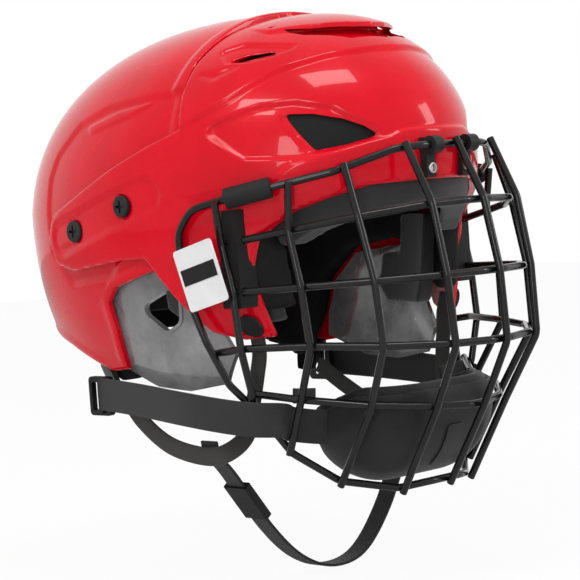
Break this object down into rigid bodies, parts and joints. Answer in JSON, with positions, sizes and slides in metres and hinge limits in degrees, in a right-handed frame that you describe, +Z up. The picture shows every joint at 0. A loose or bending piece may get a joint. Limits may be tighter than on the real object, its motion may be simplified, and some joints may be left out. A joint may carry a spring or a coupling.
{
  "type": "ice hockey helmet",
  "caption": "Two-shell ice hockey helmet with a hinged wire face cage, padded chin cup, smoke ear guards and chin straps.",
  "frame": {"origin": "middle of the head at the hat-size line, which the brow and the ears' tops lie on", "axes": "+Z up, -Y the way the face looks, +X the wearer's left"},
  "size_m": [0.2219, 0.3359, 0.3141],
  "materials": {
    "shell_red": "glossy red",
    "liner_foam": "black moulded foam",
    "comfort_pad": "charcoal comfort pad",
    "guard_smoke": "smoke-clear plastic",
    "screw_black": "black screw",
    "nut_steel": "steel",
    "clip_black": "black plastic",
    "screw_steel": "steel",
    "webbing": "black webbing",
    "snap_black": "black snap",
    "cage_wire": "gloss black coated steel wire",
    "sleeve_rubber": "black rubber",
    "bumper_foam": "black foam",
    "cup_shell": "black moulded plastic",
    "cup_foam": "black lined foam",
    "cup_mesh": "black mesh",
    "tag_white": "plain white",
    "tag_band": "plain black"
  },
  "bodies": {
    "front": {"front_shell": "shell_red", "front_liner": "liner_foam", "brow_pad": "comfort_pad", "temple_pad_right": "comfort_pad", "temple_pad_left": "comfort_pad", "ear_guard_right": "guard_smoke", "ear_guard_left": "guard_smoke", "side_screws": "screw_black", "side_t_nuts": "nut_steel", "bar_clip_right": "clip_black", "bar_clip_left": "clip_black", "clip_screws": "screw_steel", "clip_nuts": "nut_steel", "ear_strap_right": "webbing", "ear_strap_left": "webbing", "ear_strap_snap_right": "snap_black", "ear_strap_snap_left": "snap_black", "chin_strap": "webbing"},
    "rear": {"rear_shell": "shell_red", "rear_liner": "liner_foam", "crown_pad": "comfort_pad", "nape_pad": "comfort_pad", "strap_anchor_right": "clip_black", "strap_anchor_left": "clip_black"},
    "cage": {"cage_frame": "cage_wire", "cage_uprights": "cage_wire", "cage_cross_wires": "cage_wire", "corner_sleeve_right": "sleeve_rubber", "corner_sleeve_left": "sleeve_rubber", "side_bumper_right": "bumper_foam", "side_bumper_left": "bumper_foam", "harness_strap_right": "webbing", "harness_strap_left": "webbing", "harness_buckle_right": "clip_black", "harness_buckle_left": "clip_black", "chin_cup": "cup_shell", "chin_cup_liner": "cup_foam", "chin_cup_mesh": "cup_mesh", "cup_hanger_right": "webbing", "cup_hanger_left": "webbing", "tag_plate": "tag_white", "tag_band": "tag_band"},
    "slider": {"chin_strap_slider": "clip_black"}
  },
  "joints": [
    {"name": "cage_flip", "type": "hinge", "parent": "front", "child": "cage", "pos_m": [0, -0.139, 0.0225], "axis": [-1, 0, 0], "range_deg": [0, 95]},
    {"name": "size_slide", "type": "slide", "parent": "front", "child": "rear", "axis": [0, 0.9617, -0.274], "range_m": [0, 0.008]},
    {"name": "chin_slider", "type": "slide", "parent": "front", "child": "slider", "axis": [0.6075, 0, -0.7944], "range_m": [-0.006, 0.006]}
  ]
}
